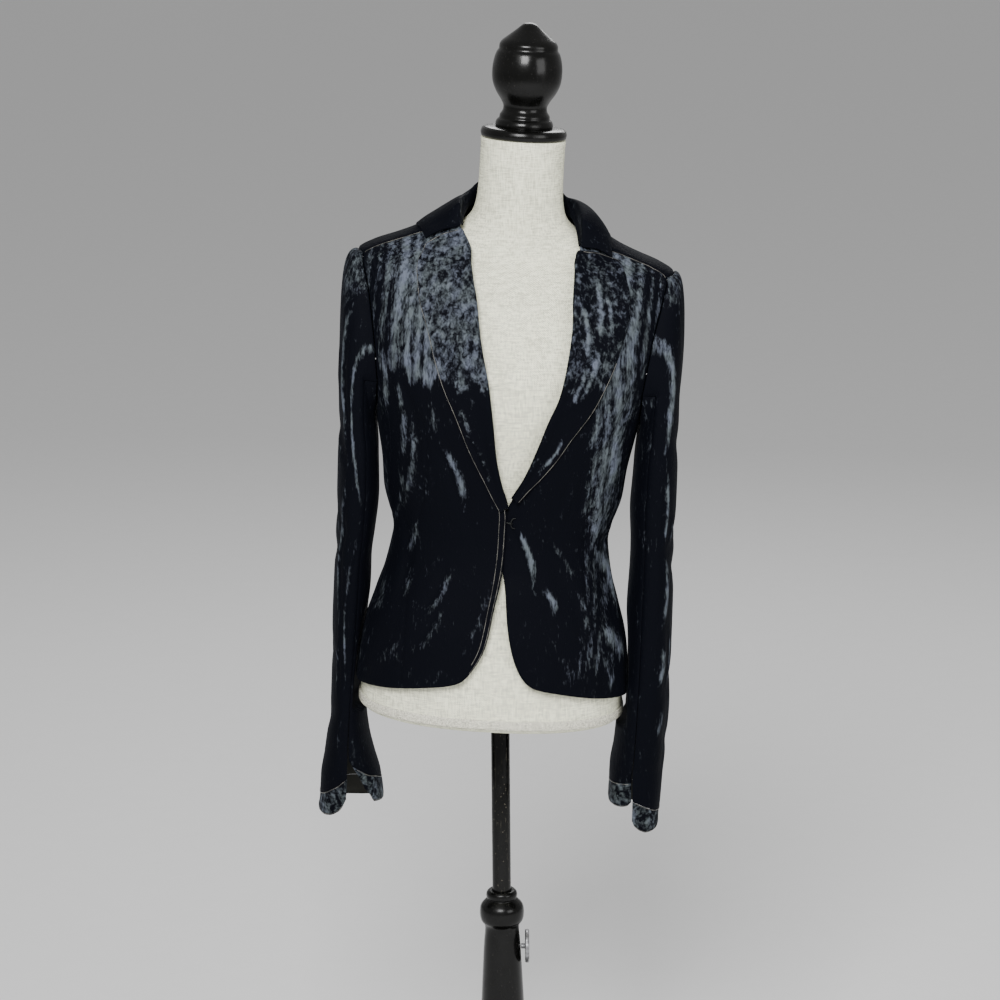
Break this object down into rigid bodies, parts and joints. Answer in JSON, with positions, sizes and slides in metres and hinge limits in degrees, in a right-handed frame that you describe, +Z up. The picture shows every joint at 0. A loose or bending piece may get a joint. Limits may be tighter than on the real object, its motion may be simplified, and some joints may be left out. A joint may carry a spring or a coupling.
{
  "type": "blazer on a dress form stand",
  "caption": "Fitted velvet blazer with notched lapels and vented cuffs, worn by a limbless linen dress form on a turned pole stand.",
  "frame": {"origin": "centre of the base's underside, on the pole's axis", "axes": "+Z up along the pole, the front faces -Y, the wearer's right is at -X"},
  "size_m": [0.4278, 0.344, 1.4289],
  "materials": {
    "velvet": "crushed velvet pile, near black with blue grey sheen",
    "cuff_velvet": "crushed velvet pile lying flat, mottled grey",
    "linen": "plain woven linen, stretched and dull",
    "braid": "coarse braided edge",
    "black_wood": "turned, black gloss paint with rubbed edges",
    "pole_metal": "black gloss, scratched",
    "steel": "dull grey",
    "hook_metal": "black"
  },
  "bodies": {
    "stand": {"base": "black_wood", "column": "black_wood", "hand_screw": "steel"},
    "pole": {"pole": "pole_metal"},
    "form": {"front_right": "velvet", "front_left": "velvet", "side_right": "velvet", "side_left": "velvet", "back_right": "velvet", "back_left": "velvet", "lapel_right": "velvet", "lapel_left": "velvet", "collar": "velvet", "sleeve_upper_right": "velvet", "sleeve_under_right": "velvet", "sleeve_upper_left": "velvet", "sleeve_under_left": "velvet", "cuff_right": "cuff_velvet", "cuff_left": "cuff_velvet", "hook": "hook_metal", "hook_bar": "hook_metal", "form_torso": "linen", "form_braid": "braid", "neck_cap": "black_wood", "finial": "black_wood"}
  },
  "joints": [
    {"name": "height", "type": "slide", "parent": "stand", "child": "pole", "axis": [0, 0, 1], "range_m": [-0.1, 0.15]},
    {"name": "turn", "type": "hinge", "parent": "pole", "child": "form", "pos_m": [0, 0, 0.63], "axis": [0, 0, 1], "continuous": true}
  ]
}
